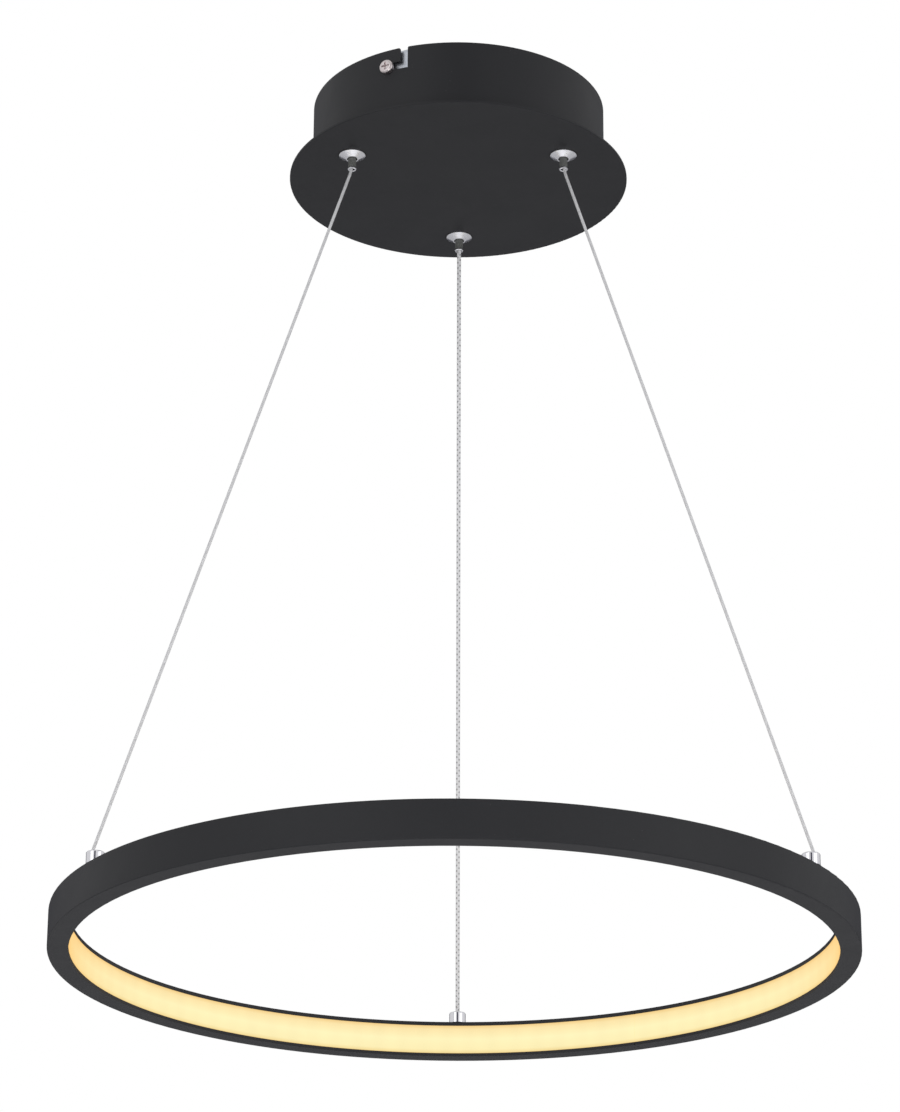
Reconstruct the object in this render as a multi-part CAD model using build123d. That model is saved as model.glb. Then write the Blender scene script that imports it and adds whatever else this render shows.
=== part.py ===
from build123d import *
import math
import os

# A ring pendant light. A black canopy locks on a ceiling bracket with two side screws, and an
# inward-lit ring hangs from it on three cords, each held by a push-to-release gripper.
# Millimetres. The ceiling is the plane z = 0, +Z is up, and the photographed front is -Y.

# ---- Whole light ----
total_height = 448.0       # ceiling to the ring's lower face

# ---- Ring ----
ring_outer_d = 380.0
ring_radial_width = 10.0
ring_height = 18.0
profile_wall = 1.2
profile_top_lip = 1.9
profile_bottom_lip = 1.6
profile_edge_round = 0.5
groove_depth = 0.7
groove_width = 1.0
groove_setback = 1.0       # inner edge of the ring to the diffuser's groove
diffuser_face = 1.2
diffuser_clear = 0.1
diffuser_foot = 1.0
seam_angle = 60.0
seam_gap = 0.2
strip_width = 8.0
strip_thick = 0.3
strip_glue = 0.1
strip_end_deg = 2.0
chip_count = 96
chip_length = 3.0
chip_height = 2.8
chip_thick = 0.8
connector_half_deg = 4.0
connector_height = 3.0
connector_clear = 0.3
grub_d = 3.0
grub_socket = 1.5

# ---- Cord terminals on the ring ----
terminal_d = 8.4
terminal_height = 5.6
terminal_edge_round = 0.8
stud_d = 3.0
bush_flange = 0.5
bush_wall = 0.6
washer_d = 5.0
washer_thick = 0.6
nut_flats = 5.5
nut_height = 2.4
lug_width = 4.0
lug_thick = 0.5
stud_tail = 1.0            # stud left below the nut
lug_gap = 0.05             # lug's end to the LED strip

# ---- Canopy ----
plate_overhang = 11.5      # plate's edge outside the housing
canopy_plate_thick = 1.2
plate_edge_round = 0.4
housing_wall = 1.0
housing_foot = 6.0         # inward foot spot-welded to the plate
housing_foot_clear = 0.5   # foot to the gripper bodies
canopy_depth = 39.7        # housing rim to the plate's lower face
rim_gap = 0.3              # housing rim to the ceiling
lock_screw_angle = 242.0
lock_turn_deg = 7.0
lock_screw_d = 3.5
lock_screw_below_rim = 9.5
lock_slot_clear = 0.25
lock_mouth_round = 0.8
lock_head_d = 7.4
lock_head_height = 2.4
lock_shank_length = 12.0
head_round_share = 0.55
recess_width = 0.9
recess_length = 4.2
recess_depth = 1.3

# ---- Ceiling bracket ----
bracket_thick = 1.5
bracket_width = 26.0
bracket_tab_depth = 16.0
bracket_bend_round = 2.0
bracket_clear = 0.3
ceiling_hole_pcd = 70.0
ceiling_hole_d = 5.2
earth_hole_offset = 16.0
earth_screw_d = 4.0
earth_head_d = 7.0
earth_washer_clear = 0.3
earth_tip_back = 0.1
earth_washer_d = 9.0
earth_washer_thick = 0.8
thread_clear = 0.05

# ---- Cord grippers ----
cord_angles = {"left": 210.0, "right": 330.0, "back": 90.0}
gripper_circle_r = 61.0
cap_d = 13.2
cap_rim = 0.5
cap_height = 2.4
cap_mouth_d = 5.2
cap_nose_d = 6.4
cap_thread_depth = 1.2
thread_end_gap = 0.1
gripper_thread_d = 8.0
gripper_body_d = 11.0
gripper_body_top = 14.0    # above the plate's lower face
gripper_roof = 1.5
gripper_cone_start = 3.0
gripper_cone_end = 8.0
gripper_chamber_d = 6.4
gripper_cord_hole_d = 2.4
plunger_d = 4.0
plunger_bore_d = 2.7
plunger_clear = 0.1
plunger_top = 6.5
plunger_bottom = -7.4
rib_count = 4
rib_start = 0.3
rib_pitch = 0.95
rib_groove = 0.45
rib_depth = 0.25
tip_d = 4.4
tip_length = 1.0
tip_chamfer = 0.3
ball_reach_r = 2.4         # cord's axis to the balls' outer side
ball_gap = 0.05
ball_height = 5.0
ball_count = 3
spring_wire_d = 0.44
spring_mean_d = 3.2
spring_turns = 5
spring_end_gap = 0.05

# ---- Cords ----
cord_ds = {"left": 1.5, "right": 1.5, "back": 2.0}
cord_bend_r = 15.0         # bend over the plunger's mouth
cord_entry = 6.0           # free cord's upper end above the plunger's lower face
cord_bend_above_tip = 0.5
stop_d = 3.6
stop_length = 6.0
stop_edge_round = 0.5

# ---- Driver and terminal block inside the canopy ----
driver_length = 84.0
driver_width = 36.0
driver_height = 18.0
driver_wall = 1.5
driver_y = -2.0
driver_cover_height = 11.0
driver_ear = 9.0
driver_ear_width = 12.0
driver_stud_clear = 0.2
driver_edge_round = 0.8
board_post = 3.0
board_thick = 1.6
board_standoff = 2.5
board_clear = 0.6
transformer_size = (18.0, 16.0, 10.0)
transformer_share = 0.05   # place along the driver, as a share of its length
choke_d = 10.0
choke_height = 7.5
choke_share = -0.32
capacitor_d = 8.0
capacitor_height = 10.0
capacitor_shares = (-0.155, 0.285)
block_size = (30.0, 17.0, 15.0)
block_y = 33.0
block_poles = 3
block_pole_pitch = 9.0
block_bore_d = 3.6
block_screw_d = 3.5
block_screw_length = 4.8
block_screw_sunk = 1.5
block_screw_row = 4.5
block_screw_slot = 0.7
block_screw_slot_depth = 0.8
block_bore_share = 0.45    # bore's height in the block
block_stud_offset = 4.5
stud_m3_d = 3.0
lead_d = 1.3
lead_rise = 9.0
lead_landing_x = 34.0
lead_landing_y = -12.0
input_lead_d = 1.8

# ---- Worked out from the sizes above ----
ring_outer_r = ring_outer_d / 2
ring_inner_r = ring_outer_r - ring_radial_width
ring_mid_r = (ring_outer_r + ring_inner_r) / 2
rim_z = -rim_gap
plate_bottom_z = rim_z - canopy_depth
plate_top_z = plate_bottom_z + canopy_plate_thick
ring_bottom_z = -total_height
ring_top_z = ring_bottom_z + ring_height
wall_inner_r = ring_outer_r - profile_wall
terminal_base_z = ring_top_z + bush_flange
terminal_top_z = terminal_base_z + terminal_height
top_lip_under_z = ring_top_z - profile_top_lip
housing_foot_r = gripper_circle_r + gripper_body_d / 2 + housing_foot_clear
housing_inner_r = housing_foot_r + housing_foot
housing_r = housing_inner_r + housing_wall
canopy_plate_r = housing_r + plate_overhang
slot_cut = 10 * housing_wall
cord_cut = 4 * terminal_d
screw_z = rim_z - lock_screw_below_rim
slot_width = lock_screw_d + 2 * lock_slot_clear
mouth_angle = lock_screw_angle + lock_turn_deg
tab_face_r = math.sqrt((housing_inner_r - bracket_clear) ** 2 - (bracket_width / 2) ** 2)
tip_z = plunger_bottom - tip_length
opposite = 180.0
far = 1000.0

solids = {}


def keep(name, shape):
    """File a sub-part under its node name."""
    solids[name] = shape


def rod(diameter, bottom, top):
    """An upright cylinder between two heights."""
    base = (Align.CENTER, Align.CENTER, Align.MIN)
    return Pos(0, 0, bottom) * Cylinder(diameter / 2, top - bottom, align=base)


def block(size_x, size_y, bottom, top):
    """An upright box centred on the Z axis between two heights."""
    base = (Align.CENTER, Align.CENTER, Align.MIN)
    return Pos(0, 0, bottom) * Box(size_x, size_y, top - bottom, align=base)


def hexagon(flats, bottom, top):
    """An upright hexagonal prism between two heights."""
    face = RegularPolygon(flats / 2, 6, major_radius=False, rotation=30)
    return extrude(Pos(0, 0, bottom) * face, top - bottom)


def turned(points, sweep_deg=360):
    """A solid of revolution about Z from (radius, height) points, starting at +X."""
    outline = Polyline([(r, 0, z) for r, z in points], close=True)
    return revolve(make_face(outline), Axis.Z, sweep_deg)


def sector(outer_r, inner_r, bottom, top, start_deg, sweep_deg):
    """Part of a flat ring, from a start angle over a sweep."""
    corners = [(inner_r, bottom), (outer_r, bottom), (outer_r, top), (inner_r, top)]
    return Rot(Z=start_deg) * turned(corners, sweep_deg)


def on_circle(shape, radius, angle, height=0.0):
    """Move a shape from the origin out to a radius, an angle and a height."""
    return Rot(Z=angle) * Pos(radius, 0, height) * shape


def tube_report(name, shape, path, diameter):
    """Print a cord's length and compare its volume with section times length."""
    expected = path.length * math.pi * diameter ** 2 / 4
    print(f"{name}: length {path.length:.1f} mm, volume ratio {shape.volume / expected:.4f}")


def pan_screw(shank_d, shank_length, head_d, head_height):
    """A cross-recess pan-head screw along +Z, its head's bearing face at z = 0."""
    head = rod(head_d, 0, head_height)
    head = fillet(head.edges().group_by(Axis.Z)[-1], head_height * head_round_share)
    slot = block(recess_length, recess_width, head_height - recess_depth, 2 * head_height)
    cross = slot + Rot(Z=90) * slot
    return head - cross + rod(shank_d, -shank_length, 0)


# ---- Ceiling bracket ----
def make_bracket():
    strip = block(2 * tab_face_r, bracket_width, -bracket_thick, 0)
    tab = block(bracket_thick, bracket_width, -bracket_tab_depth, 0)
    tab_x = tab_face_r - bracket_thick / 2
    bracket = strip + Pos(tab_x, 0, 0) * tab + Pos(-tab_x, 0, 0) * tab
    ends = [e for e in bracket.edges().filter_by(Axis.Y) if abs(e.center().Z) < 0.01]
    bracket = fillet(ends, bracket_bend_round)
    tapped = Rot(Y=90) * Cylinder(lock_screw_d / 2 + thread_clear, 3 * tab_face_r)
    bracket -= Pos(0, 0, screw_z) * tapped
    for side in (-1, 1):
        hole_x = side * ceiling_hole_pcd / 2
        bracket -= Pos(hole_x, 0, 0) * rod(ceiling_hole_d, -far, far)
    bracket -= Pos(earth_hole_offset, 0, 0) * rod(earth_screw_d + 2 * thread_clear, -far, far)
    return Rot(Z=lock_screw_angle) * bracket


keep("ceiling_bracket", make_bracket())

earth_place = Rot(Z=lock_screw_angle) * Pos(earth_hole_offset, 0, 0)
earth_seat = -bracket_thick - earth_washer_thick
earth_screw = Rot(X=180) * pan_screw(
    earth_screw_d, -earth_seat - earth_tip_back, earth_head_d, lock_head_height)
keep("earth_screw", earth_place * Pos(0, 0, earth_seat) * earth_screw)
earth_washer = rod(earth_washer_d, earth_seat, -bracket_thick)
earth_washer -= rod(earth_screw_d + earth_washer_clear, -far, far)
keep("earth_washer", earth_place * earth_washer)

# ---- Side screws that lock the canopy ----
lock_screw = pan_screw(lock_screw_d, lock_shank_length, lock_head_d, lock_head_height)
for name, angle in (("front", lock_screw_angle), ("rear", lock_screw_angle - opposite)):
    outward = Rot(Z=angle) * Pos(housing_r, 0, screw_z) * Rot(Y=90)
    keep(f"{name}_lock_screw", outward * lock_screw)


# ---- Canopy housing and plate ----
def make_housing():
    housing = rod(2 * housing_r, plate_top_z, rim_z)
    housing -= rod(2 * housing_inner_r, plate_top_z + housing_wall, far)
    housing -= rod(2 * housing_foot_r, -far, far)
    leg = sector(housing_r + slot_cut / 2, housing_r - slot_cut / 2, screw_z - slot_width / 2,
                 screw_z + slot_width / 2, lock_screw_angle, lock_turn_deg)
    end = Rot(Z=lock_screw_angle) * Pos(housing_r, 0, screw_z) * Rot(Y=90)
    end *= Cylinder(slot_width / 2, slot_cut)
    mouth = block(slot_cut, slot_width, screw_z - slot_width / 2, slot_cut)
    mouth = Rot(Z=mouth_angle) * Pos(housing_r, 0, 0) * mouth
    slot = leg + end + mouth
    housing = housing - slot - Rot(Z=opposite) * slot
    rim_edges = housing.edges().filter_by(GeomType.LINE).group_by(Axis.Z)[-1]
    return fillet(rim_edges, lock_mouth_round)


def make_plate():
    plate = rod(2 * canopy_plate_r, plate_bottom_z, plate_top_z)
    plate = fillet(plate.edges().group_by(Axis.Z)[0], plate_edge_round)
    hole = rod(gripper_thread_d + 2 * plunger_clear, -far, far)
    for angle in cord_angles.values():
        plate -= on_circle(hole, gripper_circle_r, angle)
    return plate


keep("canopy_housing", make_housing())
keep("canopy_plate", make_plate())


# ---- Grippers, one per cord; heights are from the plate's lower face ----
def make_cap():
    outside = turned([
        (0, 0), (cap_d / 2, 0), (cap_d / 2, -cap_rim), (cap_nose_d / 2, -cap_height),
        (0, -cap_height),
    ])
    outside -= rod(cap_mouth_d, -far, far)
    return outside - rod(gripper_thread_d + 2 * thread_clear, -cap_thread_depth, cap_height)


def make_gripper_body():
    thread_end = thread_end_gap - cap_thread_depth
    body = rod(gripper_body_d, canopy_plate_thick, gripper_body_top)
    body += rod(gripper_thread_d, thread_end, canopy_plate_thick)
    stem_r = plunger_d / 2 + plunger_clear
    chamber_r = gripper_chamber_d / 2
    roof_z = gripper_body_top - gripper_roof
    hollow = turned([
        (0, -cap_height), (stem_r, -cap_height), (stem_r, gripper_cone_start),
        (chamber_r, gripper_cone_end), (chamber_r, roof_z), (0, roof_z),
    ])
    return body - hollow - rod(gripper_cord_hole_d, 0, far)


def ball_size(cord_d):
    return ball_reach_r - ball_gap - cord_d / 2


def ball_places(cord_d):
    centre_r = ball_reach_r - ball_size(cord_d) / 2
    step = 360.0 / ball_count
    return [Rot(Z=i * step) * Pos(centre_r, 0, ball_height) for i in range(ball_count)]


def make_balls(cord_d):
    return [place * Sphere(ball_size(cord_d) / 2) for place in ball_places(cord_d)]


def make_plunger(cord_d):
    sleeve = rod(plunger_d, plunger_bottom, plunger_top)
    for rib in range(rib_count):
        low = plunger_bottom + rib_start + rib * rib_pitch
        groove = rod(2 * plunger_d, low, low + rib_groove)
        sleeve -= groove - rod(plunger_d - 2 * rib_depth, -far, far)
    sleeve -= rod(plunger_bore_d, -far, far)
    ball_d = ball_size(cord_d)
    window = Rot(Y=90) * rod(ball_d + 2 * ball_gap, -ball_d, ball_d)
    for place in ball_places(cord_d):
        sleeve -= place * window
    return sleeve


def make_tip():
    tip = rod(tip_d, tip_z, plunger_bottom)
    tip -= rod(plunger_bore_d, -far, far)
    return chamfer(tip.edges().group_by(Axis.Z)[0], tip_chamfer)


def make_spring():
    """The spring above the plunger, with its least gap between turns printed by the caller."""
    low = plunger_top + spring_end_gap + spring_wire_d / 2
    high = gripper_body_top - gripper_roof - spring_end_gap - spring_wire_d / 2
    pitch = (high - low) / spring_turns
    coil = Helix(pitch=pitch, height=high - low, radius=spring_mean_d / 2)
    section = Plane(origin=coil @ 0, z_dir=coil % 0) * Circle(spring_wire_d / 2)
    return Pos(0, 0, low) * sweep(section, path=coil), pitch


def make_cord_stop(cord_d):
    """The cord inside its gripper, ending in the crimped stop that rests on the gripper."""
    tail = rod(cord_d, tip_z + cord_entry, gripper_body_top + stop_length / 2)
    stop = rod(stop_d, gripper_body_top, gripper_body_top + stop_length)
    return tail + fillet(stop.edges().group_by(Axis.Z)[-1], stop_edge_round)


def make_cord(name, cord_d):
    """A free cord in the XZ plane: straight down out of the plunger, then taut to the ring."""
    entry = Vector(gripper_circle_r, 0, plate_bottom_z + tip_z + cord_entry)
    mouth = Vector(gripper_circle_r, 0, plate_bottom_z + tip_z + cord_bend_above_tip)
    landing = Vector(ring_mid_r, 0, terminal_top_z)
    overrun = (landing - mouth).normalized() * (2 * cord_d)
    path = FilletPolyline(entry, mouth, landing + overrun, radius=[cord_bend_r])
    section = Plane(origin=path @ 0, z_dir=path % 0) * Circle(cord_d / 2)
    tube = sweep(section, path=path)
    tube_report(name, tube, path, cord_d)
    print(f"{name}: bend radius {cord_bend_r:.1f} mm")
    free_length = (mouth - entry).length + (landing - mouth).length
    print(f"{name}: free length to the terminal {free_length:.1f} mm")
    below = block(cord_cut, cord_cut, terminal_top_z - cord_cut, terminal_top_z)
    return tube - Pos(ring_mid_r, 0, 0) * below


cap = make_cap()
gripper_body = make_gripper_body()
tip = make_tip()
spring, spring_pitch = make_spring()
print(f"spring: least gap between turns {spring_pitch - spring_wire_d:.2f} mm")

for side, angle in cord_angles.items():
    seat = Rot(Z=angle) * Pos(gripper_circle_r, 0, plate_bottom_z)
    cord_d = cord_ds[side]
    keep(f"gripper_cap_{side}", seat * cap)
    keep(f"gripper_body_{side}", seat * gripper_body)
    keep(f"plunger_{side}", seat * make_plunger(cord_d))
    keep(f"plunger_tip_{side}", seat * tip)
    keep(f"gripper_balls_{side}", Compound(children=[
        seat * ball for ball in make_balls(cord_d)]))
    keep(f"gripper_spring_{side}", seat * spring)
    keep(f"cord_stop_{side}", seat * make_cord_stop(cord_d))
    keep(f"cord_{side}", Rot(Z=angle) * make_cord(f"cord_{side}", cord_d))


# ---- Driver ----
def make_driver_case():
    top = plate_top_z + driver_height - driver_cover_height
    case = block(driver_length, driver_width, plate_top_z, top)
    inner = (driver_length - 2 * driver_wall, driver_width - 2 * driver_wall)
    case -= block(inner[0], inner[1], plate_top_z + driver_wall, far)
    ears = block(driver_length + 2 * driver_ear, driver_ear_width,
                 plate_top_z, plate_top_z + driver_wall)
    case += ears
    for side in (-1, 1):
        hole_x = side * (driver_length + driver_ear) / 2
        case -= Pos(hole_x, 0, 0) * rod(stud_m3_d + 2 * driver_stud_clear, -far, far)
    return Pos(0, driver_y, 0) * case


def make_driver_cover():
    bottom = plate_top_z + driver_height - driver_cover_height
    top = plate_top_z + driver_height
    cover = block(driver_length, driver_width, bottom, top)
    cover = fillet(cover.edges().group_by(Axis.Z)[-1], driver_edge_round)
    inner = (driver_length - 2 * driver_wall, driver_width - 2 * driver_wall)
    cover -= block(inner[0], inner[1], -far, top - driver_wall)
    return Pos(0, driver_y, 0) * cover


keep("driver_case", make_driver_case())
keep("driver_cover", make_driver_cover())

board_z = plate_top_z + driver_wall + board_standoff
board_size_x = driver_length - 2 * (driver_wall + board_clear)
board_size_y = driver_width - 2 * (driver_wall + board_clear)
board = block(board_size_x, board_size_y, board_z, board_z + board_thick)
post = block(board_post, board_post, plate_top_z + driver_wall, board_z)
post_x = board_size_x / 2 - board_post
post_y = board_size_y / 2 - board_post
for corner_x in (-1, 1):
    for corner_y in (-1, 1):
        board += Pos(corner_x * post_x, corner_y * post_y, 0) * post
keep("driver_board", Pos(0, driver_y, 0) * board)
part_z = board_z + board_thick
transformer_box = block(transformer_size[0], transformer_size[1], part_z,
                        part_z + transformer_size[2])
keep("driver_transformer", Pos(transformer_share * driver_length, driver_y, 0) * transformer_box)
choke = rod(choke_d, part_z, part_z + choke_height)
keep("driver_choke", Pos(choke_share * driver_length, driver_y, 0) * choke)
capacitor = rod(capacitor_d, part_z, part_z + capacitor_height)
keep("driver_capacitors", Compound(children=[
    Pos(share * driver_length, driver_y, 0) * capacitor for share in capacitor_shares]))


# ---- Terminal block, its screws, weld studs and nuts ----
pole_xs = [(i - (block_poles - 1) / 2) * block_pole_pitch for i in range(block_poles)]
block_top_z = plate_top_z + block_size[2]
bore_z = plate_top_z + block_size[2] * block_bore_share
stud_xs = (-block_stud_offset, block_stud_offset)


def make_terminal_block():
    body = block(block_size[0], block_size[1], plate_top_z, block_top_z)
    for x in pole_xs:
        body -= Pos(x, 0, bore_z) * Rot(X=90) * Cylinder(block_bore_d / 2, 2 * block_size[1])
        for row in (-1, 1):
            well = rod(block_screw_d + 2 * thread_clear, bore_z, far)
            body -= Pos(x, row * block_screw_row, 0) * well
    for x in stud_xs:
        body -= Pos(x, 0, 0) * rod(stud_m3_d + 2 * driver_stud_clear, -far, far)
    return Pos(0, block_y, 0) * body


keep("terminal_block", make_terminal_block())

wire_screw_top = block_top_z - block_screw_sunk
wire_screw = rod(block_screw_d, wire_screw_top - block_screw_length, wire_screw_top)
wire_screw -= block(2 * block_screw_d, block_screw_slot, wire_screw_top - block_screw_slot_depth, far)
keep("terminal_block_screws", Compound(children=[
    Pos(x, block_y + row * block_screw_row, 0) * wire_screw
    for x in pole_xs for row in (-1, 1)]))

driver_stud_x = (driver_length + driver_ear) / 2
driver_studs = [(-driver_stud_x, driver_y), (driver_stud_x, driver_y)]
block_studs = [(x, block_y) for x in stud_xs]
driver_seat_z = plate_top_z + driver_wall
studs = []
nuts = []
for places, seat_z in ((driver_studs, driver_seat_z), (block_studs, block_top_z)):
    for x, y in places:
        studs.append(Pos(x, y, 0) * rod(stud_m3_d, plate_top_z, seat_z + nut_height + stud_tail))
        nut = hexagon(nut_flats, seat_z, seat_z + nut_height)
        nuts.append(Pos(x, y, 0) * (nut - rod(stud_m3_d + 2 * thread_clear, -far, far)))
keep("plate_studs", Compound(children=studs))
keep("stud_nuts", Compound(children=nuts))


# ---- Leads inside the canopy ----
def make_output_lead(side, angle, sign):
    """From the cord's stop, up and over, down to the driver's cover."""
    start_x = gripper_circle_r * math.cos(math.radians(angle))
    start_y = gripper_circle_r * math.sin(math.radians(angle))
    start_z = plate_bottom_z + gripper_body_top + stop_length
    landing_z = plate_top_z + driver_height
    top_z = start_z + lead_rise
    points = [
        Vector(start_x, start_y, start_z), Vector(start_x, start_y, top_z),
        Vector(sign * lead_landing_x, lead_landing_y, top_z),
        Vector(sign * lead_landing_x, lead_landing_y, landing_z),
    ]
    shorter = min(lead_rise, top_z - landing_z)
    bend_r = 0.45 * shorter
    path = FilletPolyline(*points, radius=[bend_r, bend_r])
    section = Plane(origin=path @ 0, z_dir=path % 0) * Circle(lead_d / 2)
    tube = sweep(section, path=path)
    tube_report(f"output_lead_{side}", tube, path, lead_d)
    print(f"output_lead_{side}: bend radii {bend_r:.1f} mm")
    return tube


keep("output_lead_left", make_output_lead("left", cord_angles["left"], -1))
keep("output_lead_right", make_output_lead("right", cord_angles["right"], 1))

driver_side_y = driver_y + driver_width / 2
block_side_y = block_y - block_size[1] / 2
lead_mid_y = (driver_side_y + block_side_y) / 2
leads = []
for x in (pole_xs[0], pole_xs[-1]):
    lead = Rot(X=90) * Cylinder(input_lead_d / 2, block_side_y - driver_side_y)
    leads.append(Pos(x, lead_mid_y, bore_z) * lead)
keep("input_leads", Compound(children=leads))


# ---- Ring; heights in these outlines are from the ring's lower face ----
cavity_bottom = profile_bottom_lip
cavity_top = ring_height - profile_top_lip
groove_inner_r = ring_inner_r + groove_setback
groove_outer_r = groove_inner_r + groove_width
seam_slit = Rot(Z=seam_angle) * Pos(ring_mid_r, 0, ring_height / 2)
seam_slit *= Box(ring_radial_width * 3, seam_gap, ring_height * 3)
lift = Pos(0, 0, ring_bottom_z)


def make_profile():
    profile = turned([
        (ring_inner_r, 0), (ring_outer_r, 0), (ring_outer_r, ring_height),
        (ring_inner_r, ring_height), (ring_inner_r, cavity_top), (groove_inner_r, cavity_top),
        (groove_inner_r, cavity_top + groove_depth), (groove_outer_r, cavity_top + groove_depth),
        (groove_outer_r, cavity_top), (wall_inner_r, cavity_top), (wall_inner_r, cavity_bottom),
        (groove_outer_r, cavity_bottom), (groove_outer_r, cavity_bottom - groove_depth),
        (groove_inner_r, cavity_bottom - groove_depth), (groove_inner_r, cavity_bottom),
        (ring_inner_r, cavity_bottom),
    ])
    circles = profile.edges().filter_by(GeomType.CIRCLE)
    rims = [e for e in circles if abs(e.radius - ring_outer_r) < 0.01]
    profile = fillet(rims, profile_edge_round)
    profile -= seam_slit
    bush_d = stud_d + 2 * (thread_clear + bush_wall + thread_clear)
    for angle in cord_angles.values():
        profile -= on_circle(rod(bush_d, ring_height / 2, far), ring_mid_r, angle)
    return lift * profile


def make_diffuser():
    low = cavity_bottom + diffuser_clear
    high = cavity_top - diffuser_clear
    back_r = ring_inner_r + diffuser_face
    foot_in = groove_inner_r + diffuser_clear
    foot_out = groove_outer_r - diffuser_clear
    foot_low = cavity_bottom - groove_depth + diffuser_clear
    foot_high = cavity_top + groove_depth - diffuser_clear
    diffuser = turned([
        (ring_inner_r, low), (foot_in, low), (foot_in, foot_low), (foot_out, foot_low),
        (foot_out, low + diffuser_foot), (back_r, low + diffuser_foot),
        (back_r, high - diffuser_foot), (foot_out, high - diffuser_foot),
        (foot_out, foot_high), (foot_in, foot_high), (foot_in, high), (ring_inner_r, high),
    ])
    return lift * (diffuser - seam_slit)


keep("ring_profile", make_profile())
keep("ring_diffuser", make_diffuser())

strip_middle = (cavity_bottom + cavity_top) / 2
strip_low = strip_middle - strip_width / 2
strip_high = strip_middle + strip_width / 2
strip_outer_r = wall_inner_r - strip_glue
strip_r = strip_outer_r - strip_thick
strip_start = seam_angle + strip_end_deg
strip_sweep = 360.0 - 2 * strip_end_deg
strip = sector(strip_outer_r, strip_r, strip_low, strip_high, strip_start, strip_sweep)
keep("led_strip", lift * strip)

chip_reach = math.sqrt(strip_r ** 2 - (chip_length / 2) ** 2)
chip = Box(chip_thick, chip_length, chip_height)
chip_step = strip_sweep / chip_count
chip_angles = [strip_start + (i + 0.5) * chip_step for i in range(chip_count)]
chip_r = chip_reach - chip_thick / 2
keep("led_chips", Compound(children=[
    lift * on_circle(chip, chip_r, angle, strip_middle) for angle in chip_angles]))

# ---- Ring joint: an arc bar on the lower lip, pinched by two grub screws ----
bar_outer_r = strip_r - chip_thick - connector_clear
bar_inner_r = groove_outer_r + connector_clear
bar_mid_r = (bar_outer_r + bar_inner_r) / 2
bar = sector(bar_outer_r, bar_inner_r, cavity_bottom, cavity_bottom + connector_height,
             seam_angle - connector_half_deg, 2 * connector_half_deg)
grub_angles = (seam_angle - connector_half_deg / 2, seam_angle + connector_half_deg / 2)
grub_hole = rod(grub_d + 2 * thread_clear, -far, far)
for angle in grub_angles:
    bar -= on_circle(grub_hole, bar_mid_r, angle)
keep("ring_joint_bar", lift * bar)
grub = rod(grub_d, cavity_bottom, cavity_bottom + connector_height)
grub -= hexagon(grub_socket, cavity_bottom + connector_height / 2, far)
keep("ring_joint_screws", Compound(children=[
    lift * on_circle(grub, bar_mid_r, angle) for angle in grub_angles]))

# ---- Cord terminals with their insulation, nuts and feed lugs ----
stud_hole_d = stud_d + 2 * thread_clear
sleeve_d = stud_hole_d + 2 * bush_wall
washer_low = top_lip_under_z - washer_thick
lug_low = washer_low - lug_thick
bush = rod(terminal_d, ring_top_z, terminal_base_z) + rod(sleeve_d, top_lip_under_z, ring_top_z)
bush -= rod(stud_hole_d, -far, far)
washer = rod(washer_d, washer_low, top_lip_under_z) - rod(stud_hole_d, -far, far)
terminal = rod(terminal_d, terminal_base_z, terminal_top_z)
terminal = fillet(terminal.edges().group_by(Axis.Z)[-1], terminal_edge_round)
terminal += rod(stud_d, lug_low - nut_height - stud_tail, terminal_base_z)
bushes = []
washers = []
lugs = []
ring_nuts = []
for side, angle in cord_angles.items():
    keep(f"cord_terminal_{side}", on_circle(terminal, ring_mid_r, angle))
    bushes.append(on_circle(bush, ring_mid_r, angle))
    washers.append(on_circle(washer, ring_mid_r, angle))
    nut_top = washer_low
    if side != "back":
        nut_top = lug_low
        lug_reach = strip_r - ring_mid_r - lug_gap
        lug = block(2 * lug_reach, lug_width, lug_low, washer_low)
        lug = split(lug, bisect_by=Plane.YZ.offset(-lug_width / 2), keep=Keep.TOP)
        lugs.append(on_circle(lug - rod(stud_hole_d, -far, far), ring_mid_r, angle))
    nut = hexagon(nut_flats, nut_top - nut_height, nut_top) - rod(stud_hole_d, -far, far)
    ring_nuts.append(on_circle(nut, ring_mid_r, angle))
keep("terminal_bushes", Compound(children=bushes))
keep("terminal_washers", Compound(children=washers))
keep("terminal_lugs", Compound(children=lugs))
keep("terminal_nuts", Compound(children=ring_nuts))

# ---- Files ----
os.makedirs("parts", exist_ok=True)
for name, shape in solids.items():
    export_step(shape, f"parts/{name}.step")
print(f"{len(solids)} nodes; ring lower face at z = {ring_bottom_z:.1f} mm")
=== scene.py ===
import math

import bmesh
import bpy
import numpy as np
from mathutils import Matrix, Vector


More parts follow.
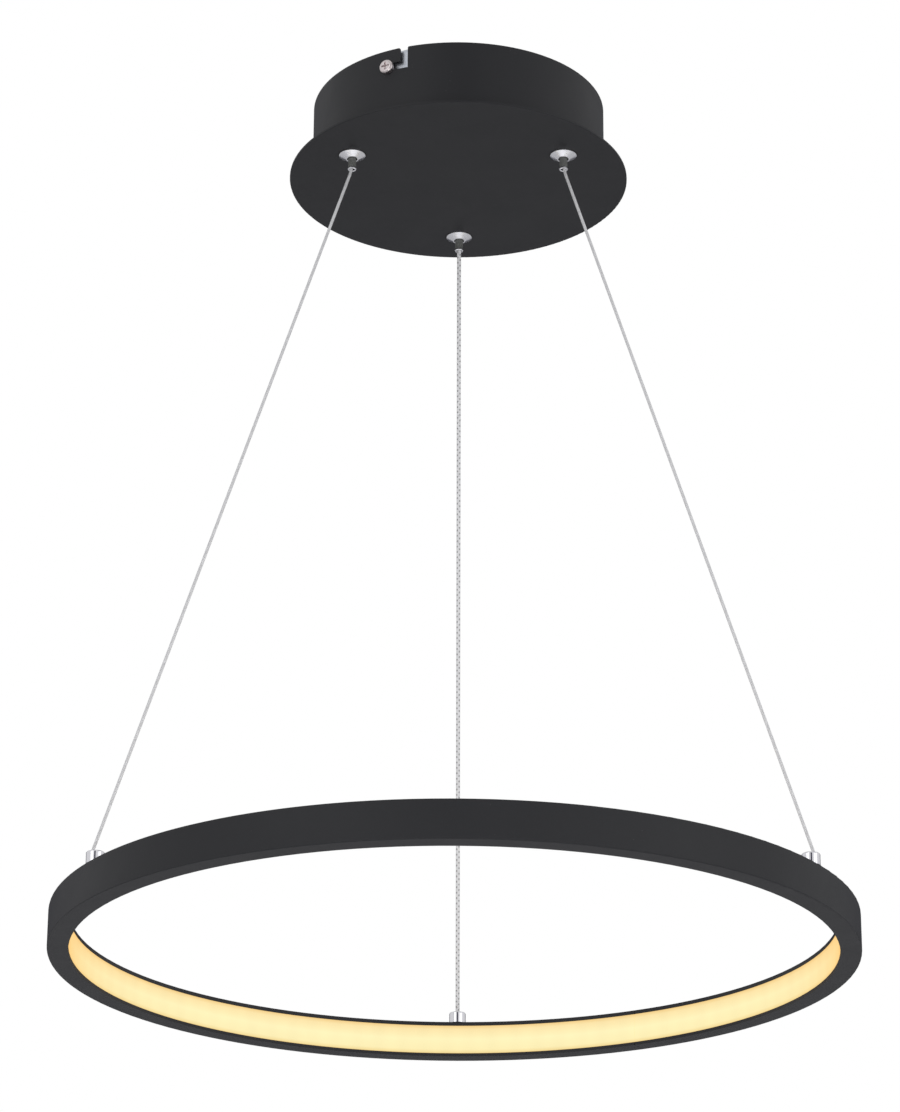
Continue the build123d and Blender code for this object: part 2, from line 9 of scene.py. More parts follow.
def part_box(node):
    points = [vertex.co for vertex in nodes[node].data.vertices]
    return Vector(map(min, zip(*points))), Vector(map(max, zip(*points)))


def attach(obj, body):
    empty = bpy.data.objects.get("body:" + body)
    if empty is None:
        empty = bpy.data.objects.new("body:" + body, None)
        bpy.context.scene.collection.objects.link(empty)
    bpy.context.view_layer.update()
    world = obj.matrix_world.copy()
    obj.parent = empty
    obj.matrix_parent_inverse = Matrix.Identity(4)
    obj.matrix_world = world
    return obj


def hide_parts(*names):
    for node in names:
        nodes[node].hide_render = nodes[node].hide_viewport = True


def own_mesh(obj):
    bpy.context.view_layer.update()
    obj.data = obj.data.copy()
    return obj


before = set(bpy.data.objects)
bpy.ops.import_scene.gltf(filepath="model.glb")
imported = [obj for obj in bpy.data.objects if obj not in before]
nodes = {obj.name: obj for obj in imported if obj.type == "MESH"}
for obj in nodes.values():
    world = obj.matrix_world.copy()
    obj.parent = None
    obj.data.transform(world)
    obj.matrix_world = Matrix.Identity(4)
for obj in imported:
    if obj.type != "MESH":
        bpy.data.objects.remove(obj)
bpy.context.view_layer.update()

# ---- Sizes that the pieces share with the CAD, in metres ----
# Ring and LED strip
RING_BOTTOM = -0.448
RING_HEIGHT = 0.018
SEAM_DEG = 60.0
STRIP_END_DEG = 2.0          # from the seam to each end of the strip
STRIP_START = math.radians(SEAM_DEG + STRIP_END_DEG)
STRIP_SPAN = math.radians(360.0 - 2 * STRIP_END_DEG)
STRIP_FACE_R = 0.1884
STRIP_Z = RING_BOTTOM + 0.00885
CHIP_COUNT = 96
CHIP_FACE_R = 0.187594

# Grippers and cords
CORD_DEG = {"left": 210.0, "right": 330.0, "back": 90.0}
SIDES = tuple(CORD_DEG)
GRIPPER_R = 0.061            # from the canopy's axis to a gripper's axis
GRIPPER_AXIS = {
    side: (GRIPPER_R * math.cos(math.radians(angle)), GRIPPER_R * math.sin(math.radians(angle)))
    for side, angle in CORD_DEG.items()
}
CAP_R = 0.0066
CAP_MOUTH_R = 0.0026
TIP_BORE_R = 0.00135
CORD_D = {"left": 0.0015, "right": 0.0015, "back": 0.0020}
CORD_TOP_Z = -0.0424
CORD_BEND_Z = -0.0479
CORD_LANDING_R = 0.1865
TERMINAL_TOP_Z = -0.4239

# Gripper springs
SPRING_LOW = -0.03345
SPRING_HIGH = -0.02755
SPRING_MEAN_R = 0.0016
SPRING_WIRE_R = 0.00022
SPRING_TURNS = 5

# Leads and driver board
LEAD_D = 0.0013
LEAD_FOOT_Z = -0.0200
LEAD_TOP_Z = -0.0110
LEAD_LANDING = (0.034, -0.012, -0.0208)
INPUT_LEAD_D = 0.0018
INPUT_LEAD_Z = -0.03205
BOARD_TOP_Z = -0.0332
DRIVER_Y = -0.002

# ---- Sizes of what is drawn finer here ----
CORD_STEP = {"left": 0.0012, "right": 0.0012, "back": 0.0004}
CORD_SIDES = 24
CORD_BEND_DIAMETERS = 6      # from a cord's bend to its route's next point
JACKET_LAY = 0.016           # one turn of the two wires in a front cord
BRAID_PITCH = 0.0028
BRAID_TURN = math.pi / 2     # a pit on each side of the front, seen from the front
SPRING_STEPS = 24            # to each turn
SPRING_SIDES = 10
LEAD_STEP = 0.0006
LEAD_SIDES = 16
LEAD_BEND = 4 * LEAD_D       # how far a lead's bends reach
STUB_POINTS = 16
STUB_SIDES = 18
CHIPS_PER_CUT = 6            # the strip's circuit repeats after so many chips
SOLDER_RISE = 0.0002         # from the strip's face to the middle of each kind of part on it
RESISTOR_RISE = 0.00022
PAD_RISE = 0.00003
CAP_SHADE = 0.0012           # width of a cap's soft shade on the plate
BORE_SHADE_EDGE = 0.00003          # width of the change to painted shade at a bore's edge


# ---- Shader helpers ----
def group(name, inputs, outputs):
    """An empty shader group, with its input and output sockets by name."""
    tree = bpy.data.node_groups.new(name, "ShaderNodeTree")
    for label, kind, value in inputs:
        socket = tree.interface.new_socket(label, in_out="INPUT", socket_type=kind)
        socket.default_value = value
    for label, kind in outputs:
        tree.interface.new_socket(label, in_out="OUTPUT", socket_type=kind)
    inside = tree.nodes.new("NodeGroupInput")
    outside = tree.nodes.new("NodeGroupOutput")
    return tree, inside.outputs, outside.inputs


def add(tree, kind, **values):
    """A node with its properties (lower case) and its inputs by name (first letter upper case)."""
    node = tree.nodes.new(kind)
    for key, value in values.items():
        if key[0].isupper():
            node.inputs[key.replace("_", " ")].default_value = value
        else:
            setattr(node, key, value)
    return node


def feed(tree, value, socket):
    """Give a socket its value, which is another socket or a plain value."""
    if isinstance(value, bpy.types.NodeSocket):
        tree.links.new(value, socket)
    else:
        socket.default_value = value


def math_node(tree, operation, *operands):
    """A maths node whose operands are sockets or numbers."""
    node = add(tree, "ShaderNodeMath", operation=operation)
    for value, socket in zip(operands, node.inputs):
        feed(tree, value, socket)
    return node.outputs[0]


def mix_colour(tree, factor, first, second, blend="MIX"):
    """A colour mix whose factor and colours are sockets or values."""
    node = add(tree, "ShaderNodeMix", data_type="RGBA", blend_type=blend)
    for value, index in ((factor, 0), (first, 6), (second, 7)):
        feed(tree, value, node.inputs[index])
    return node.outputs[2]


def split_xyz(tree, vector):
    """A vector's three numbers, by axis."""
    node = add(tree, "ShaderNodeSeparateXYZ")
    tree.links.new(vector, node.inputs[0])
    return node.outputs


def texture(tree, place, kind="ShaderNodeTexNoise", **values):
    """A texture in the object's own coordinates, so its scale is per metre."""
    node = add(tree, kind, **values)
    tree.links.new(place.outputs["Object"], node.inputs["Vector"])
    return node


def add_bump(tree, height, normal, strength, distance):
    """A bump between a height and a normal socket; its strength is a socket or a number."""
    node = add(tree, "ShaderNodeBump", Distance=distance)
    feed(tree, strength, node.inputs["Strength"])
    tree.links.new(height, node.inputs["Height"])
    tree.links.new(node.outputs["Normal"], normal)


FLOAT = "NodeSocketFloat"
COLOUR = "NodeSocketColor"
VECTOR = "NodeSocketVector"
SKIN_OUTPUTS = (("Colour", COLOUR), ("Roughness", FLOAT), ("Normal", VECTOR))


def make_coat_group():
    """Powder coat or moulded skin: fine orange peel, faint mottling and sparse pale dust."""
    tree, inside, outside = group("CoatSkin", [
        ("Colour", COLOUR, (0.02, 0.02, 0.022, 1)), ("Mottle", COLOUR, (0.03, 0.03, 0.032, 1)),
        ("Peel Size", FLOAT, 0.0008), ("Peel Height", FLOAT, 0.3),
        ("Roughness", FLOAT, 0.5), ("Dust", FLOAT, 0.1),
    ], SKIN_OUTPUTS)
    place = add(tree, "ShaderNodeTexCoord")
    peel = texture(tree, place, Detail=3.0, Roughness=0.55)
    tree.links.new(math_node(tree, "DIVIDE", 1.0, inside["Peel Size"]), peel.inputs["Scale"])
    broad = texture(tree, place, Scale=38.0, Detail=4.0, Roughness=0.6)
    specks = texture(tree, place, "ShaderNodeTexVoronoi", Scale=420.0)
    speck = math_node(tree, "LESS_THAN", specks.outputs["Distance"], 0.10)
    rare = math_node(tree, "GREATER_THAN", broad.outputs["Fac"], 0.58)
    dust = math_node(tree, "MULTIPLY", math_node(tree, "MULTIPLY", speck, rare), inside["Dust"])
    tone = math_node(tree, "MULTIPLY_ADD", peel.outputs["Fac"], 0.6,
                     math_node(tree, "MULTIPLY", broad.outputs["Fac"], 0.4))
    colour = mix_colour(tree, tone, inside["Colour"], inside["Mottle"])
    colour = mix_colour(tree, dust, colour, (0.45, 0.44, 0.42, 1))
    tree.links.new(colour, outside["Colour"])
    rough = math_node(tree, "MULTIPLY_ADD", broad.outputs["Fac"], 0.16,
                      math_node(tree, "SUBTRACT", inside["Roughness"], 0.08))
    tree.links.new(rough, outside["Roughness"])
    add_bump(tree, peel.outputs["Fac"], outside["Normal"], inside["Peel Height"], 0.00012)
    return tree


def make_metal_group():
    """Drawn, stamped or plated metal: directional grain and faint smudges."""
    tree, inside, outside = group("MetalSkin", [
        ("Colour", COLOUR, (0.7, 0.7, 0.7, 1)), ("Tarnish", COLOUR, (0.5, 0.5, 0.5, 1)),
        ("Grain X", FLOAT, 900.0), ("Grain Y", FLOAT, 900.0), ("Grain Z", FLOAT, 900.0),
        ("Grain Height", FLOAT, 0.2), ("Roughness", FLOAT, 0.25), ("Smudge", FLOAT, 0.1),
    ], SKIN_OUTPUTS)
    place = add(tree, "ShaderNodeTexCoord")
    stretch = add(tree, "ShaderNodeCombineXYZ")
    for axis in "XYZ":
        tree.links.new(inside[f"Grain {axis}"], stretch.inputs[axis])
    scaled = add(tree, "ShaderNodeVectorMath", operation="MULTIPLY")
    tree.links.new(place.outputs["Object"], scaled.inputs[0])
    tree.links.new(stretch.outputs[0], scaled.inputs[1])
    grain = add(tree, "ShaderNodeTexNoise", Scale=1.0, Detail=2.0)
    tree.links.new(scaled.outputs[0], grain.inputs["Vector"])
    smudge = texture(tree, place, Scale=160.0, Detail=5.0, Roughness=0.65)
    contrast = add(tree, "ShaderNodeMapRange", To_Min=-0.6, To_Max=1.5)
    tree.links.new(smudge.outputs["Fac"], contrast.inputs["Value"])
    patch = math_node(tree, "MAXIMUM", contrast.outputs["Result"], 0.0)
    amount = math_node(tree, "MULTIPLY", math_node(tree, "MINIMUM", patch, 1.0), inside["Smudge"])
    both = math_node(tree, "MULTIPLY_ADD", grain.outputs["Fac"], 0.35, amount)
    tree.links.new(mix_colour(tree, both, inside["Colour"], inside["Tarnish"]), outside["Colour"])
    rough = math_node(tree, "MULTIPLY_ADD", amount, 0.35, inside["Roughness"])
    rough = math_node(tree, "MULTIPLY_ADD", grain.outputs["Fac"], 0.06, rough)
    tree.links.new(rough, outside["Roughness"])
    add_bump(tree, grain.outputs["Fac"], outside["Normal"], inside["Grain Height"], 0.00004)
    return tree


def make_axis_group():
    """1 near an upright axis, falling to 0 between two distances from it."""
    tree, inside, outside = group("NearAxis", [
        ("Axis X", FLOAT, 0.0), ("Axis Y", FLOAT, 0.0),
        ("Inner", FLOAT, 0.001), ("Outer", FLOAT, 0.002),
    ], [("Mask", FLOAT)])
    here = split_xyz(tree, add(tree, "ShaderNodeTexCoord").outputs["Object"])
    squares = []
    for axis in "XY":
        away = math_node(tree, "SUBTRACT", here[axis], inside[f"Axis {axis}"])
        squares.append(math_node(tree, "MULTIPLY", away, away))
    distance = math_node(tree, "SQRT", math_node(tree, "ADD", *squares))
    fall = add(tree, "ShaderNodeMapRange", To_Min=1.0, To_Max=0.0)
    tree.links.new(distance, fall.inputs["Value"])
    tree.links.new(inside["Inner"], fall.inputs["From Min"])
    tree.links.new(inside["Outer"], fall.inputs["From Max"])
    tree.links.new(fall.outputs["Result"], outside["Mask"])
    return tree


COAT = make_coat_group()
METAL = make_metal_group()
NEAR_AXIS = make_axis_group()


def new_material(name):
    """A node material with only a Principled shader and its output."""
    material = bpy.data.materials.new(name)
    material.use_nodes = True
    return material, material.node_tree, material.node_tree.nodes["Principled BSDF"]


def rgba(red, green, blue):
    return (red, green, blue, 1)


def skinned(name, skin_group, **values):
    """A material with its colour, roughness and normal from a skin group, and its shader."""
    material, tree, shader = new_material(name)
    skin = add(tree, "ShaderNodeGroup", node_tree=skin_group, **values)
    tree.links.new(skin.outputs["Colour"], shader.inputs["Base Color"])
    tree.links.new(skin.outputs["Roughness"], shader.inputs["Roughness"])
    tree.links.new(skin.outputs["Normal"], shader.inputs["Normal"])
    return material, shader


def coat(name, colour, mottle, peel_size, peel_height, roughness, dust, specular=0.5):
    """A painted or moulded material."""
    material, shader = skinned(name, COAT, Colour=rgba(*colour), Mottle=rgba(*mottle),
                               Peel_Size=peel_size, Peel_Height=peel_height,
                               Roughness=roughness, Dust=dust)
    shader.inputs["Specular IOR Level"].default_value = specular
    return material


def metal(name, colour, tarnish, grain, height, roughness, smudge):
    """A bare or plated metal material; grain is its fineness along X, Y and Z."""
    material, shader = skinned(name, METAL, Colour=rgba(*colour), Tarnish=rgba(*tarnish),
                               Grain_X=grain[0], Grain_Y=grain[1], Grain_Z=grain[2],
                               Grain_Height=height, Roughness=roughness, Smudge=smudge)
    shader.inputs["Metallic"].default_value = 1.0
    return material


def paint_shade_near(material, side, inner, width, colour):
    """Paint shade on a finished material: dark, dull and not metallic within a distance of one
    gripper's axis, fading out over a width."""
    tree = material.node_tree
    shader = tree.nodes["Principled BSDF"]
    axis_x, axis_y = GRIPPER_AXIS[side]
    near = add(tree, "ShaderNodeGroup", node_tree=NEAR_AXIS, Axis_X=axis_x, Axis_Y=axis_y,
               Inner=inner, Outer=inner + width)
    mask = near.outputs["Mask"]
    painted = shader.inputs["Base Color"].links[0].from_socket
    tree.links.new(mix_colour(tree, mask, painted, rgba(*colour)), shader.inputs["Base Color"])
    rough = shader.inputs["Roughness"].links[0].from_socket
    tree.links.new(math_node(tree, "MAXIMUM", rough, math_node(tree, "MULTIPLY", mask, 0.8)),
                   shader.inputs["Roughness"])
    metallic = shader.inputs["Metallic"].default_value
    if metallic > 0:
        tree.links.new(math_node(tree, "SUBTRACT", metallic, mask), shader.inputs["Metallic"])


def ramp(tree, factor, stops):
    """A colour ramp from (place, colour) stops."""
    node = add(tree, "ShaderNodeValToRGB")
    elements = node.color_ramp.elements
    elements[0].position, elements[0].color = stops[0][0], rgba(*stops[0][1])
    elements[1].position, elements[1].color = stops[-1][0], rgba(*stops[-1][1])
    for place, colour in stops[1:-1]:
        elements.new(place).color = rgba(*colour)
    tree.links.new(factor, node.inputs["Fac"])
    return node.outputs["Color"]


def make_lit_diffuser():
    """Opal silicone lit from behind: brightest at mid height and warmer at its edges, with a
    faint brighter patch over each chip. At a slant it is dimmer and warmer."""
    material, tree, shader = new_material("lit_diffuser")
    place = add(tree, "ShaderNodeTexCoord")
    here = split_xyz(tree, place.outputs["Object"])
    height = math_node(tree, "DIVIDE", math_node(tree, "SUBTRACT", here["Z"], RING_BOTTOM),
                       RING_HEIGHT)
    glow = ramp(tree, height, [
        (0.09, (0.85, 0.65, 0.27)), (0.2, (0.94, 0.82, 0.435)), (0.5, (0.965, 0.865, 0.48)),
        (0.78, (0.93, 0.745, 0.375)), (0.90, (0.84, 0.56, 0.20)),
    ])
    weight = add(tree, "ShaderNodeLayerWeight", Blend=0.5)
    slant = math_node(tree, "POWER", weight.outputs["Facing"], 3.0)
    tree.links.new(mix_colour(tree, slant, glow, (0.965, 0.55, 0.15, 1)),
                   shader.inputs["Emission Color"])
    turn = math_node(tree, "ARCTAN2", here["Y"], here["X"])
    along = math_node(tree, "MULTIPLY", math_node(tree, "SUBTRACT", turn, STRIP_START),
                      2 * math.pi * CHIP_COUNT / STRIP_SPAN)
    chip = math_node(tree, "MULTIPLY_ADD", math_node(tree, "COSINE", along), -0.010, 0.985)
    cloud = texture(tree, place, Scale=60.0, Detail=3.0)
    milky = math_node(tree, "MULTIPLY_ADD", cloud.outputs["Fac"], 0.04, 0.98)
    tree.links.new(math_node(tree, "MULTIPLY", chip, milky), shader.inputs["Emission Strength"])
    body = mix_colour(tree, cloud.outputs["Fac"], (0.05, 0.045, 0.03, 1), (0.09, 0.08, 0.05, 1))
    tree.links.new(body, shader.inputs["Base Color"])
    fine = texture(tree, place, Scale=2400.0, Detail=2.0)
    add_bump(tree, fine.outputs["Fac"], shader.inputs["Normal"], 0.08, 0.00005)
    shader.inputs["Roughness"].default_value = 0.55
    shader.inputs["Specular IOR Level"].default_value = 0.25
    return material


def make_cord_material(name, low, high, turns, pitch, roughness, depth):
    """A cord's surface, from its own attribute: X is the way round (0 to 1), Y the metres along
    and Z the radius there, as a share of the largest. Valleys are darker, with painted shade."""
    material, tree, shader = new_material(name)
    lay = add(tree, "ShaderNodeAttribute", attribute_name="cord_lay")
    where = split_xyz(tree, lay.outputs["Vector"])
    wind = math_node(tree, "MULTIPLY_ADD", where["X"], turns,
                     math_node(tree, "DIVIDE", where["Y"], pitch))
    wave = math_node(tree, "SINE", math_node(tree, "MULTIPLY", wind, 2 * math.pi))
    wave = math_node(tree, "MULTIPLY_ADD", wave, 0.5, 0.5)
    noise = texture(tree, add(tree, "ShaderNodeTexCoord"), Scale=900.0, Detail=3.0)
    tone = math_node(tree, "MULTIPLY_ADD", noise.outputs["Fac"], 0.35,
                     math_node(tree, "MULTIPLY", wave, 0.65))
    colour = mix_colour(tree, tone, rgba(*low), rgba(*high))
    # Painted shade: darker where the surface lies nearer the cord's middle, in the valleys between
    # strands and in the braid's pits.
    valley_shade = ramp(tree, where["Z"], [
        (0.88, (0.20, 0.20, 0.20)), (0.94, (0.60, 0.60, 0.60)), (0.98, (1, 1, 1))])
    colour = mix_colour(tree, 1.0, colour, valley_shade, "MULTIPLY")
    tree.links.new(colour, shader.inputs["Base Color"])
    rough = math_node(tree, "MULTIPLY_ADD", noise.outputs["Fac"], 0.15, roughness)
    tree.links.new(rough, shader.inputs["Roughness"])
    add_bump(tree, wave, shader.inputs["Normal"], depth, 0.0001)
    return material


# ---- Materials for the CAD nodes ----
# coat: colour, mottle, peel size and height, roughness, dust (specular)
# metal: colour, tarnish, grain in X, Y and Z, grain height, roughness, smudge
BLACK_COAT = ((0.0090, 0.0093, 0.0114), (0.0158, 0.0163, 0.0192), 0.0007, 0.22, 0.50, 0.05, 0.36)
CHROME = ((0.92, 0.915, 0.94), (0.74, 0.74, 0.79), (260, 260, 700), 0.05, 0.04, 0.08)
SATIN_CHROME = ((0.93, 0.93, 0.95), (0.70, 0.71, 0.78), (500, 500, 900), 0.10, 0.20, 0.20)
black_coat = coat("black_coat", *BLACK_COAT)
# The plate's coat is the black coat with a painted shadow round each gripper's cap, added below.
plate_coat_cap_shadow = coat("plate_coat_cap_shadow", *BLACK_COAT)
chrome = metal("chrome", *CHROME)
zinc = metal("zinc", (0.67, 0.70, 0.75), (0.49, 0.52, 0.57), (90, 90, 1400), 0.35, 0.30, 0.35)
nickel_screw = metal("nickel_screw", (0.80, 0.735, 0.73), (0.54, 0.485, 0.485),
                     (700, 700, 700), 0.15, 0.22, 0.25)
steel = metal("steel", (0.62, 0.62, 0.62), (0.42, 0.42, 0.43), (800, 800, 200), 0.2, 0.25, 0.2)
nickel_brass = metal("nickel_brass", (0.66, 0.60, 0.46), (0.48, 0.42, 0.30),
                     (200, 200, 1600), 0.25, 0.25, 0.2)
brass = metal("brass", (0.78, 0.58, 0.26), (0.55, 0.38, 0.16), (900, 900, 300), 0.2, 0.28, 0.3)
copper = metal("tinned_copper", (0.70, 0.46, 0.32), (0.60, 0.56, 0.52),
               (300, 300, 1200), 0.3, 0.32, 0.5)
aluminium = metal("aluminium", (0.72, 0.73, 0.74), (0.55, 0.56, 0.57),
                  (1500, 120, 120), 0.25, 0.34, 0.15)
sleeve_black = coat("sleeve_black", (0.123, 0.128, 0.121), (0.220, 0.225, 0.215),
                    0.0005, 0.25, 0.38, 0.05)
white_plastic = coat("white_plastic", (0.74, 0.73, 0.70), (0.80, 0.79, 0.76),
                     0.0006, 0.25, 0.48, 0.04)
nylon = coat("black_nylon", (0.02, 0.02, 0.02), (0.035, 0.035, 0.035), 0.0004, 0.2, 0.45, 0.03)
strip_white = coat("strip_white", (0.80, 0.79, 0.75), (0.86, 0.85, 0.82),
                   0.0004, 0.1, 0.35, 0.02)
led_case = coat("led_case", (0.86, 0.84, 0.76), (0.90, 0.89, 0.82), 0.0003, 0.1, 0.3, 0.0)
board_green = coat("board_green", (0.010, 0.085, 0.030), (0.018, 0.130, 0.045),
                   0.0012, 0.3, 0.30, 0.05)
tape_yellow = coat("tape_yellow", (0.62, 0.44, 0.06), (0.74, 0.56, 0.10), 0.002, 0.3, 0.32, 0.02)
ferrite = coat("ferrite", (0.035, 0.035, 0.037), (0.06, 0.06, 0.062), 0.0005, 0.4, 0.6, 0.1)
can_blue = coat("can_blue", (0.02, 0.03, 0.075), (0.03, 0.045, 0.10), 0.0009, 0.15, 0.28, 0.02)
red_lead = coat("red_lead", (0.42, 0.03, 0.02), (0.52, 0.05, 0.03), 0.0004, 0.2, 0.4, 0.02)

MATERIAL_OF_NODE = {
    "ceiling_bracket": zinc, "earth_screw": brass, "earth_washer": steel,
    "front_lock_screw": nickel_screw, "rear_lock_screw": nickel_screw,
    "canopy_housing": black_coat, "canopy_plate": plate_coat_cap_shadow, "ring_profile": black_coat,
    "plate_studs": steel, "stud_nuts": steel, "ring_joint_screws": steel,
    "terminal_nuts": steel, "ring_diffuser": make_lit_diffuser(), "led_strip": strip_white,
    "led_chips": led_case, "ring_joint_bar": aluminium, "terminal_bushes": nylon,
    "terminal_washers": nylon, "terminal_lugs": brass, "driver_case": white_plastic,
    "driver_cover": white_plastic, "driver_board": board_green,
    "driver_transformer": tape_yellow, "driver_choke": ferrite, "driver_capacitors": can_blue,
    "terminal_block": white_plastic, "terminal_block_screws": brass,
    "output_lead_left": red_lead, "output_lead_right": red_lead, "input_leads": red_lead,
}
for side in SIDES:
    # Painted shadow: a soft dark ring on the plate round each gripper's cap.
    paint_shade_near(plate_coat_cap_shadow, side, CAP_R, CAP_SHADE, (0.002, 0.002, 0.002))
    cap_chrome_bore_shade = metal(f"cap_chrome_bore_shade_{side}", *SATIN_CHROME)
    # Painted shade inside the cap's mouth.
    paint_shade_near(cap_chrome_bore_shade, side, CAP_MOUTH_R, BORE_SHADE_EDGE, (0.012, 0.012, 0.013))
    tip_chrome_bore_shade = metal(f"tip_chrome_bore_shade_{side}", *SATIN_CHROME)
    # Painted shade inside the plunger tip's bore.
    paint_shade_near(tip_chrome_bore_shade, side, TIP_BORE_R, BORE_SHADE_EDGE, (0.010, 0.010, 0.011))
    MATERIAL_OF_NODE.update({
        f"gripper_cap_{side}": cap_chrome_bore_shade, f"gripper_body_{side}": nickel_brass,
        f"plunger_{side}": sleeve_black, f"plunger_tip_{side}": tip_chrome_bore_shade,
        f"gripper_balls_{side}": chrome, f"gripper_spring_{side}": steel,
        f"cord_stop_{side}": copper, f"cord_terminal_{side}": chrome,
    })

for node_name, material in MATERIAL_OF_NODE.items():
    for material_slot in nodes[node_name].material_slots:
        material_slot.material = material


# ---- Meshes ----
def new_object(name, mesh):
    piece = bpy.data.objects.new(name, mesh)
    bpy.context.scene.collection.objects.link(piece)
    return piece


def remove_object(piece):
    bpy.data.objects.remove(piece, do_unlink=True)


def route_points(name, controls):
    """Points along a route's NURBS spline, in the row frame."""
    curve = bpy.data.curves.new(f"{name}_route", "CURVE")
    curve.dimensions = "3D"
    curve.resolution_u = 24
    spline = curve.splines.new("NURBS")
    spline.points.add(len(controls) - 1)
    for point, control in zip(spline.points, controls):
        point.co = (*control, 1)
    spline.order_u = 3
    spline.use_endpoint_u = True
    holder = new_object(f"{name}_route", curve)
    mesh = bpy.data.meshes.new_from_object(holder)
    points = [vertex.co.copy() for vertex in mesh.vertices]
    remove_object(holder)
    bpy.data.meshes.remove(mesh)
    return points


def spaced(points, step):
    """The route's points again, at an even spacing, with each one's distance from the start."""
    joints = np.array([tuple(p) for p in points])
    lengths = np.linalg.norm(np.diff(joints, axis=0), axis=1)
    travelled = np.concatenate([[0.0], np.cumsum(lengths)])
    count = max(2, int(round(travelled[-1] / step)) + 1)
    places = np.linspace(0.0, travelled[-1], count)
    line = np.stack([np.interp(places, travelled, joints[:, axis]) for axis in range(3)], axis=1)
    return line, places


def carried_frames(line):
    """Two unit vectors across the line at each point, carried along it without twisting."""
    tangents = np.gradient(line, axis=0)
    tangents /= np.linalg.norm(tangents, axis=1)[:, None]
    across = Vector(tangents[0]).orthogonal().normalized()
    firsts, seconds = [], []
    for tangent in tangents:
        ahead = Vector(tangent)
        across = (across - ahead * across.dot(ahead)).normalized()
        firsts.append(tuple(across))
        seconds.append(tuple(ahead.cross(across)))
    return np.array(firsts), np.array(seconds)


def tube(name, line, places, radius, sides):
    """A closed tube about a line; radius(angle, distance) gives its outline. Its attribute
    cord_lay holds the way round, the metres along and the radius as a share of the largest."""
    first, second = carried_frames(line)
    angles = np.arange(sides) * 2 * math.pi / sides
    grid = np.array([[radius(a, s) for a in angles] for s in places])
    ring = (np.cos(angles)[None, :, None] * first[:, None, :]
            + np.sin(angles)[None, :, None] * second[:, None, :])
    points = line[:, None, :] + grid[:, :, None] * ring
    vertices = points.reshape(-1, 3).tolist()
    faces = []
    for row in range(len(line) - 1):
        for column in range(sides):
            after = (column + 1) % sides
            faces.append((row * sides + column, row * sides + after,
                          (row + 1) * sides + after, (row + 1) * sides + column))
    last = (len(line) - 1) * sides
    faces.append(tuple(reversed(range(sides))))
    faces.append(tuple(last + column for column in range(sides)))
    mesh = bpy.data.meshes.new(name)
    mesh.from_pydata(vertices, [], faces)
    lay = mesh.attributes.new("cord_lay", "FLOAT_VECTOR", "POINT")
    turn = np.tile(angles / (2 * math.pi), len(line))
    distance = np.repeat(places, sides)
    outward = grid.ravel() / grid.max()
    data = np.stack([turn, distance, outward], axis=1)
    lay.data.foreach_set("vector", data.astype(np.float32).ravel())
    mesh.shade_smooth()
    return mesh


def joined(name, meshes):
    """Several meshes as one."""
    parts = [new_object(f"{name}_{i}", mesh) for i, mesh in enumerate(meshes)]
    with bpy.context.temp_override(active_object=parts[0], selected_editable_objects=parts):
        bpy.ops.object.join()
    mesh = parts[0].data.copy()
    remove_object(parts[0])
    return mesh


# ---- Cords ----
def cord_controls(side):
    """The route of part.py, with one more point near the plunger's mouth."""
    angle = math.radians(CORD_DEG[side])
    out = Vector((math.cos(angle), math.sin(angle), 0))
    top = out * GRIPPER_R + Vector((0, 0, CORD_TOP_Z))
    bend = out * GRIPPER_R + Vector((0, 0, CORD_BEND_Z))
    landing = out * CORD_LANDING_R + Vector((0, 0, TERMINAL_TOP_Z))
    near = bend + (landing - bend).normalized() * (CORD_BEND_DIAMETERS * CORD_D[side])
    return [top, bend, near, landing]


def jacket_radius(angle, distance):
    """A smooth jacket drawn tight over two twisted wires."""
    twist = math.cos(2 * (angle - 2 * math.pi * distance / JACKET_LAY))
    return CORD_D["left"] / 2 * (0.975 + 0.006 * twist)


def braid_radius(angle, distance):
    """A braided steel sleeve: pits between its strands, staggered round the cord."""
    pit = math.sin(2 * angle + BRAID_TURN) * math.sin(2 * math.pi * distance / BRAID_PITCH)
    return CORD_D["back"] / 2 * (1.03 - 0.11 * max(0.0, pit))


jacket = make_cord_material("clear_jacket", (0.66, 0.66, 0.665), (0.76, 0.76, 0.77),
                            2.0, -0.008, 0.24, 0.05)
braid = make_cord_material("steel_braid", (0.78, 0.78, 0.79), (0.95, 0.95, 0.96),
                           12.0, 0.0016, 0.30, 0.3)

for side in SIDES:
    controls = cord_controls(side)
    route = route_points(f"cord_{side}", controls)
    path, path_places = spaced(route, CORD_STEP[side])
    outline = braid_radius if side == "back" else jacket_radius
    mesh = tube(f"hanging_cord_{side}", path, path_places, outline, CORD_SIDES)
    mesh.materials.append(braid if side == "back" else jacket)
    piece = new_object(f"hanging_cord_{side}", mesh)
    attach(piece, "canopy")
    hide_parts(f"cord_{side}")
    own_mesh(piece)


# ---- Gripper springs, each drawn at one fixed length ----
def spring_radius(angle, distance):
    """A plain round wire."""
    return SPRING_WIRE_R


spring_turn = np.linspace(0, 2 * math.pi * SPRING_TURNS, SPRING_STEPS * SPRING_TURNS + 1)
spring_height = np.linspace(SPRING_LOW + SPRING_WIRE_R, SPRING_HIGH - SPRING_WIRE_R,
                            len(spring_turn))
for side in SIDES:
    axis_x, axis_y = GRIPPER_AXIS[side]
    line = np.stack([axis_x + SPRING_MEAN_R * np.cos(spring_turn),
                     axis_y + SPRING_MEAN_R * np.sin(spring_turn), spring_height], axis=1)
    mesh = tube(f"coil_spring_{side}", line, SPRING_MEAN_R * spring_turn, spring_radius,
                SPRING_SIDES)
    mesh.materials.append(steel)
    piece = new_object(f"coil_spring_{side}", mesh)
    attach(piece, "canopy")
    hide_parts(f"gripper_spring_{side}")
    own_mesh(piece)


